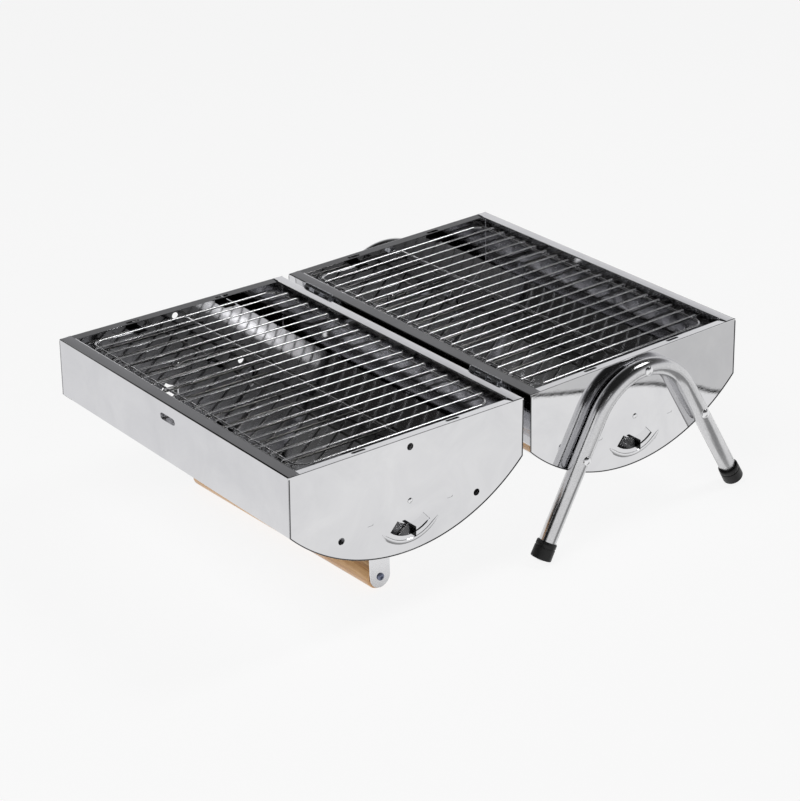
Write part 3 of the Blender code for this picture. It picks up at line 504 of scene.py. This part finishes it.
BOLT_SPOTS = (("top", (0, LEG_APEX)), ("hinge_side", (-0.0850, -0.0875)), ("latch_side", (0.0850, -0.0875)))
BOLT_INWARD = 0.0075                # shank end behind the panel's inner face
BOLT_CHAMFER = 0.0005
BOLT_SHANK = 0.0029
BOLT_NECK = (0.0016, 0.0049)        # depth under the head's face, radius
BOLT_HEAD = (0.0052, 0.0027)        # radius, height


def leg(word, side):
    """One tube bent into an arch with two leaning legs."""
    bm = bmesh.new()
    inset = Vector((-math.sin(LEAN), math.cos(LEAN))) * TUBE_INSET
    foot = Vector((FOOT_OFFSET, -FOOT_LOW)) + inset
    bend = arc((0, LEG_APEX - LEG_BEND), LEG_BEND, LEAN, math.pi - LEAN, 56)
    path = [(foot.x, foot.y), *bend, (-foot.x, foot.y)]
    tube(bm, [(side * LEG_X, y, z) for y, z in path], TUBE_RADIUS, 36)
    finish_piece(f"bent_tube_leg_{word}", bm, "base", "tube_steel", (f"leg_{word}",), BASE)


def foot_cap(word, side, hand_word, hand):
    """Moulded cap: a ring groove in the sole, a soft edge, a groove near the mouth."""
    soft = arc((CAP_EDGE, CAP_RADIUS - CAP_EDGE), CAP_EDGE, math.pi, math.pi / 2, 5)
    upper = [(height, CAP_RADIUS - deep) for height, deep in CAP_GROOVE + CAP_MOUTH]
    profile = [*CAP_SOLE, *soft, *upper, (CAP_LENGTH, TUBE_RADIUS + CAP_PLAY)]
    upward = Vector((0, -hand * math.sin(LEAN), math.cos(LEAN)))
    turn = Vector((1, 0, 0)).rotation_difference(upward).to_matrix().to_4x4()
    at = Matrix.Translation((side * LEG_X, hand * FOOT_OFFSET, -FOOT_LOW))
    bm = bmesh.new()
    turned(bm, profile, 48)
    node = f"foot_cap_{word}_{hand_word}"
    finish_piece(f"rubber_{node}", bm, "base", "black_rubber", (node,), BASE @ at @ turn, 50)


def dome(face, radius, height, edge=0.0004, steps=8):
    """Profile of a low domed head standing on a face."""
    sphere = (radius ** 2 + height ** 2) / (2 * height)
    start = math.asin(min(1.0, (radius - edge) / sphere))
    top = [(face + height - sphere + sphere * math.cos(a), sphere * math.sin(a))
           for a in (start * (1 - i / steps) for i in range(steps))]
    return [(face, radius), *top, (face + height, 0)]


def leg_bolt(word, side, spot_word, spot):
    """Bolt through tube and panel, its low dome outside."""
    outer = LEG_X + TUBE_RADIUS + GAP
    tip, neck = HALF_L - SHEET - BOLT_INWARD, outer - BOLT_NECK[0]
    profile = [(tip, 0), (tip, BOLT_SHANK - BOLT_CHAMFER), (tip + BOLT_CHAMFER, BOLT_SHANK),
               (neck, BOLT_SHANK), (neck, BOLT_NECK[1]), *dome(outer, *BOLT_HEAD)]
    bm = bmesh.new()
    turned(bm, profile, 40, outward(side, (0, *spot)))
    node = f"leg_bolt_{word}_{spot_word}"
    finish_piece(f"domed_{node}", bm, "base", "bright_bolt", (node,), BASE, 50)


HANDS = (("hinge_side", -1), ("latch_side", 1))
for end_word, end in ENDS:
    leg(end_word, end)
    for cap_word, hand in HANDS:
        foot_cap(end_word, end, cap_word, hand)
    for spot_name, spot_at in BOLT_SPOTS:
        leg_bolt(end_word, end, spot_name, spot_at)

# ---- damper rivets ----
VENT_HEIGHT = -0.0700
RIVET_SHANK = 0.0017
RIVET_HEAD = (0.0030, 0.0014)       # radius, height
RIVET_TAIL = (0.0010, 0.0028, 0.0032)   # height, radius at its end, radius at the sheet


def damper_rivet(bowl, place, word, side):
    """Rivet that a vent shutter turns on, domed outside and set flat inside."""
    inner = HALF_L - 2 * SHEET - 2 * GAP
    outer = HALF_L + GAP
    high, narrow, wide = RIVET_TAIL
    profile = [(inner - high, 0), (inner - high, narrow), (inner, wide), (inner, RIVET_SHANK),
               (outer, RIVET_SHANK), *dome(outer, *RIVET_HEAD)]
    bm = bmesh.new()
    turned(bm, profile, 32, outward(side, (0, 0, VENT_HEIGHT)))
    node = f"{bowl}_damper_rivet_{word}"
    finish_piece(f"domed_{node}", bm, bowl, "bright_bolt", (node,), place, 50)


for bowl, place in BOWLS:
    for end_word, end in ENDS:
        damper_rivet(bowl, place, end_word, end)

# ---- handle ----
HANDLE_RADIUS = 0.0142
HANDLE_HALF = 0.1565
GRIP_HALF = 0.1561
GRIP_EDGE = 0.0018
GRIP_NEAR = (0.0015, 0.0025)        # how far each end is off the level line, across and up
GRIP_FAR = (-0.0060, 0.0)
BORE_DEPTH = 0.020
BORE_RADIUS = 0.0024
BORE_LIP = 0.0004
HANDLE_DROP = (RIM_HEIGHT - HANDLE_RADIUS + BOWL_MIDDLE * math.sin(LID_TILT)) / math.cos(LID_TILT)


def grip_line():
    """The grip's own frame: X runs from its far end to its near end."""
    near = Vector((HANDLE_HALF, GRIP_NEAR[0], GRIP_NEAR[1] - HANDLE_DROP))
    far = Vector((-HANDLE_HALF, GRIP_FAR[0], GRIP_FAR[1] - HANDLE_DROP))
    turn = Vector((1, 0, 0)).rotation_difference(near - far).to_matrix().to_4x4()
    return Matrix.Translation((near + far) / 2) @ turn


def handle_grip():
    """Turned dowel with eased ends and a screw bore in each."""
    half = [(GRIP_HALF - BORE_DEPTH, 0), (GRIP_HALF - BORE_DEPTH, BORE_RADIUS),
            (GRIP_HALF - BORE_LIP, BORE_RADIUS), (GRIP_HALF, BORE_RADIUS + BORE_LIP)]
    half += arc((GRIP_HALF - GRIP_EDGE, HANDLE_RADIUS - GRIP_EDGE), GRIP_EDGE, 0, math.pi / 2, 6)
    half += [(GRIP_HALF * k / 12, HANDLE_RADIUS) for k in range(11, 0, -1)]
    profile = half + [(0, HANDLE_RADIUS)] + [(-a, r) for a, r in reversed(half)]
    bm = bmesh.new()
    turned(bm, profile, 72, grip_line())
    finish_piece("turned_wood_grip", bm, "lid", "varnished_wood", ("handle_grip",), LID)


handle_grip()

# ---- hemmed lips, rolled edges and crimped seams of the bowls; painted shadow darkens the seams, a painted reflection the edges ----
FLANGE_SIDE = 0.013
FLANGE_RISE = 0.0006
HEM_RADIUS = 0.0008
HEM_INSET = 0.0004
HEM_DROP = 0.0007
HEM_SHORT = 0.0100                  # the hems stop this far before the corners
ROLL_RADIUS = 0.0009
ROLL_INSET = 0.0010
SEAM_RADIUS = 0.0006
SEAM_INSET = 0.0005
SEAM_PROUD = 0.0001
SEAM_TOP = -0.0025
BELLY_SAG = 0.061
WALL_HEIGHT = 0.065
BELLY_RADIUS = (HALF_D ** 2 + BELLY_SAG ** 2) / (2 * BELLY_SAG)
BELLY_CENTRE = -WALL_HEIGHT - BELLY_SAG + BELLY_RADIUS
BELLY_ANGLE = math.asin(HALF_D / BELLY_RADIUS)


def lip_hems(bowl, place):
    """The side lips' inner edges are folded under, which leaves a round bright edge."""
    bm = bmesh.new()
    reach = RIM_REACH - HEM_SHORT
    z = FLANGE_RISE - HEM_DROP
    for hand in (-1, 1):
        y = hand * (HALF_D - FLANGE_SIDE - HEM_INSET)
        tube(bm, [(-reach, y, z), (reach, y, z)], HEM_RADIUS, 14)
    finish_piece(f"{bowl}_lip_hems", bm, bowl, "mirror_steel", (), place)


def seam(bowl, place, word, side):
    """Crimped seam where the wrap sheet is turned over the end panel's edge, darkened with painted shadow
    for the gap there.
    """
    belly = arc((0, BELLY_CENTRE), BELLY_RADIUS - SEAM_INSET,
                -math.pi / 2 - BELLY_ANGLE, -math.pi / 2 + BELLY_ANGLE, 90)
    edge = HALF_D - SEAM_INSET
    path = [(-edge, SEAM_TOP), *belly, (edge, SEAM_TOP)]
    bm = bmesh.new()
    tube(bm, [(side * (HALF_L + SEAM_PROUD), y, z) for y, z in path], SEAM_RADIUS, 10)
    finish_piece(f"{bowl}_seam_{word}", bm, bowl, "painted_dark_line", (), place)


def edge_roll(bowl, place, hand):
    """Tight roll, dark with a painted reflection of the bend, where the free long wall turns over into its
    lip.
    """
    bm = bmesh.new()
    y, z = hand * (HALF_D - ROLL_INSET), -ROLL_INSET
    tube(bm, [(-RIM_REACH, y, z), (RIM_REACH, y, z)], ROLL_RADIUS, 12)
    finish_piece(f"{bowl}_edge_roll", bm, bowl, "painted_dark_line", (), place)


edge_roll("lid", LID, -1)
edge_roll("base", BASE, 1)
for bowl, place in BOWLS:
    lip_hems(bowl, place)
    for end_word, end in ENDS:
        seam(bowl, place, end_word, end)

# ---- looks of the carried-over CAD nodes ----
NODE_LOOKS = (                      # the first word found in a node's name decides
    ("base_end_panel", "base_panel_steel"), ("lid_end_panel", "lid_panel_steel"),
    ("shell", "mirror_steel"), ("damper", "vent_steel"), ("leg_nut", "zinc_plate"),
    ("latch_pin", "zinc_plate"), ("latch_rivet", "zinc_plate"), ("latch", "mirror_steel"),
    ("handle_strap", "strap_steel"), ("handle_screw", "dark_zinc"), ("strap_bolt", "zinc_plate"),
    ("hinge", "zinc_plate"),
)
WELD_REACH = 2e-6
BEND_ANGLE = math.radians(28)       # gentler bends than this are shaded smooth


def soften(obj):
    """Shade a carried-over node smooth across its gentle bends."""
    mesh = obj.data
    if "custom_normal" in mesh.attributes:
        mesh.attributes.remove(mesh.attributes["custom_normal"])
    mesh.shade_smooth()
    mesh.edges.foreach_set("use_edge_sharp", [False] * len(mesh.edges))
    weld = obj.modifiers.new("weld", "WELD")
    weld.merge_threshold = WELD_REACH
    split = obj.modifiers.new("sharp_bends", "EDGE_SPLIT")
    split.use_edge_sharp = False
    split.split_angle = BEND_ANGLE
    even = obj.modifiers.new("flat_faces_first", "WEIGHTED_NORMAL")
    even.weight = 100


def dress(name, obj):
    """Give a carried-over node its material and its shading."""
    look = next(value for key, value in NODE_LOOKS if key in name)
    if not obj.data.materials:
        obj.data.materials.append(LOOKS[look])
    for found in obj.material_slots:
        found.material = LOOKS[look]
    soften(obj)


for node_name, node_obj in NODES.items():
    if not node_obj.hide_render:
        dress(node_name, node_obj)


# ---- floor, light and camera ----
# Headings in the surroundings: what the bowls' polished walls and the leg tubes mirror.
PANEL_SIDE = (0.812, 0.584, 0.0)    # seen in the near end panels
FRONT_SIDE = (-0.812, -0.584, 0.0)  # seen in the lid's long wall
FLAG_SIDE = (-0.213, -0.977, 0.0)   # dark band of the tubes
SCREEN_SIDE = (-0.707, -0.707, 0.0) # dark back of the tubes
WINDOW_SIDE = (0.342, -0.940, 0.0)  # bright line of the tubes
# Heights there are sines of the elevation.
EDGE_LOW, EDGE_HIGH = -0.4312, -0.4304      # the dark line across the near end panels
EDGE_BLUR = 0.0006
WALL_TOP = (-0.38, -0.30)
UNDER_TOP = (-0.512, -0.499)
HAZE_START = (-0.478, -0.420)
FLAG_START = (-0.62, -0.50)
SCREEN_START = (-0.10, -0.02)
WINDOW_START, WINDOW_TOP = (0.12, 0.16), (0.46, 0.50)
SKY_TONES = [(0.0, (0.93, 0.93, 0.93)), (0.27, (0.90, 0.90, 0.91)), (0.36, (0.45, 0.45, 0.465)),
             (0.45, (0.22, 0.22, 0.225)), (0.60, (0.10, 0.10, 0.10)), (0.80, (0.02, 0.02, 0.02))]
WALL_GREY = (0.68, 0.68, 0.68)
HAZE_GREY = (0.84, 0.84, 0.85)
UNDER_GREY = (0.34, 0.34, 0.34)
EDGE_BLACK = (0.03, 0.03, 0.03)
FLAG_BLACK = (0.02, 0.02, 0.02)
WINDOW_WHITE = (1.0, 1.0, 1.0)

FLOOR_HALF = 14
FLOOR_DROP = 0.0004
FLOOR_GREY = (0.16, 0.16, 0.16, 1)
FLOOR_GLOW = 0.86
LAMPS = (                           # name, place, target, size, watts, seen in mirrors
    ("front_box", (1.96, -0.85, 1.68), (0, -0.1, 0.15), (0.36, 0.40), 0.24, True),
    ("front_core", (1.90, -0.80, 1.66), (0, -0.1, 0.15), (0.13, 0.16), 0.06, True),
    ("top_box", (0.53, 1.31, 2.09), (0, 0, 0.15), (0.7, 0.7), 9, True),
    ("wash", (0.3, -1.6, 2.6), (0, 0, 0.1), (2.0, 2.0), 26, False),
)
CAMERA_AZIMUTH, CAMERA_HEIGHT, CAMERA_ROLL = 0.919697512, 0.451383174, -0.0270382526
CAMERA_DISTANCE = 2.40925864
CAMERA_TARGET = (0.133035806, -0.102706122 + Y_SHIFT, RIM_HEIGHT)
CAMERA_LENS, SENSOR_WIDTH, CLIP_END = 107.35, 36.0, 60


def pale_floor():
    """Evenly lit white floor that the polished steel doesn't mirror."""
    bm = bmesh.new()
    bmesh.ops.create_grid(bm, x_segments=8, y_segments=8, size=FLOOR_HALF)
    mesh = bpy.data.meshes.new("pale_floor")
    bm.to_mesh(mesh)
    bm.free()
    floor = bpy.data.objects.new("pale_floor", mesh)
    floor.location = (0, 0, -FLOOR_DROP)
    bpy.context.scene.collection.objects.link(floor)
    made, _, shader = new_material("studio_white")
    shader.inputs["Base Color"].default_value = FLOOR_GREY
    shader.inputs["Roughness"].default_value = 1.0
    shader.inputs["Specular IOR Level"].default_value = 0.0
    shader.inputs["Emission Color"].default_value = (1, 1, 1, 1)
    shader.inputs["Emission Strength"].default_value = FLOOR_GLOW
    mesh.materials.append(made)
    floor.visible_glossy = False


def facing(tree, direction, side, start, full):
    """How far a direction's heading lies toward one side, 0 at start and 1 at full (cosines)."""
    value = direction
    for operation, other in (("MULTIPLY", (1, 1, 0)), ("NORMALIZE", None), ("DOT_PRODUCT", side)):
        node = tree.nodes.new("ShaderNodeVectorMath")
        node.operation = operation
        tree.links.new(value, node.inputs[0])
        if other:
            node.inputs[1].default_value = other
        value = node.outputs["Value" if operation == "DOT_PRODUCT" else "Vector"]
    return spread(tree, value, 0.0, 1.0, start, full)


def sky():
    """Pale low down and dark overhead, with grey walls, a table edge, black flags and a window."""
    world = bpy.data.worlds.new("studio")
    world.use_nodes = True
    bpy.context.scene.world = world
    tree = world.node_tree
    direction = tree.nodes.new("ShaderNodeTexCoord").outputs["Generated"]
    split = tree.nodes.new("ShaderNodeSeparateXYZ")
    tree.links.new(direction, split.inputs["Vector"])
    z = split.outputs["Z"]
    glossy = tree.nodes.new("ShaderNodeLightPath").outputs["Is Glossy Ray"]

    def above(limits):
        return spread(tree, z, 0, 1, *limits)

    def below(limits):
        return spread(tree, z, 1, 0, *limits)

    panel = facing(tree, direction, PANEL_SIDE, 0.90, 0.95)
    front = facing(tree, direction, FRONT_SIDE, 0.90, 0.95)
    flag = facing(tree, direction, FLAG_SIDE, 0.83, 0.90)
    screen = facing(tree, direction, SCREEN_SIDE, 0.643, 0.707)
    window = facing(tree, direction, WINDOW_SIDE, 0.970, 0.982)
    edge_band = (above((EDGE_LOW - EDGE_BLUR, EDGE_LOW)), below((EDGE_HIGH, EDGE_HIGH + EDGE_BLUR)))
    tone = ramp(tree, z, SKY_TONES)
    for colour, share in (
        (WALL_GREY, (panel, above((EDGE_LOW, EDGE_HIGH)), below(WALL_TOP))),
        (HAZE_GREY, (front, above(HAZE_START), below(WALL_TOP))),
        (UNDER_GREY, (panel, below(UNDER_TOP))),
        (EDGE_BLACK, (panel, *edge_band)),
        (FLAG_BLACK, (flag, above(FLAG_START), glossy)),
        (FLAG_BLACK, (screen, above(SCREEN_START), glossy)),
        (WINDOW_WHITE, (window, above(WINDOW_START), below(WINDOW_TOP), glossy)),
    ):
        tone = mix(tree, times(tree, *share), tone, colour)
    tree.links.new(tone, tree.nodes["Background"].inputs["Color"])


def softbox(name, at, target, size, power, mirrored):
    """Round area lamp aimed at a target."""
    light = bpy.data.lights.new(name, "AREA")
    light.shape = "ELLIPSE"
    light.size, light.size_y = size
    light.energy = power
    lamp = bpy.data.objects.new(name, light)
    bpy.context.scene.collection.objects.link(lamp)
    lamp.location = at
    lamp.rotation_euler = (Vector(target) - Vector(at)).to_track_quat("-Z", "Y").to_euler()
    lamp.visible_glossy = mirrored


def camera():
    """The photograph's viewpoint, from a fit to points of the object."""
    azimuth, height, roll = CAMERA_AZIMUTH, CAMERA_HEIGHT, CAMERA_ROLL
    back = Vector((math.sin(azimuth) * math.cos(height), -math.cos(azimuth) * math.cos(height),
                   math.sin(height)))
    right = (-back).cross(Vector((0, 0, 1))).normalized()
    up = right.cross(-back)
    across = right * math.cos(roll) + up * math.sin(roll)
    upright = up * math.cos(roll) - right * math.sin(roll)
    turn = Matrix((across, upright, back)).transposed().to_4x4()
    lens = bpy.data.cameras.new("camera")
    lens.lens = CAMERA_LENS
    lens.sensor_width = SENSOR_WIDTH
    lens.clip_end = CLIP_END
    made = bpy.data.objects.new("camera", lens)
    bpy.context.scene.collection.objects.link(made)
    made.matrix_world = Matrix.Translation(Vector(CAMERA_TARGET) + back * CAMERA_DISTANCE) @ turn
    bpy.context.scene.camera = made


pale_floor()
sky()
for lamp_row in LAMPS:
    softbox(*lamp_row)
camera()
view = bpy.context.scene.view_settings
view.view_transform = "Standard"
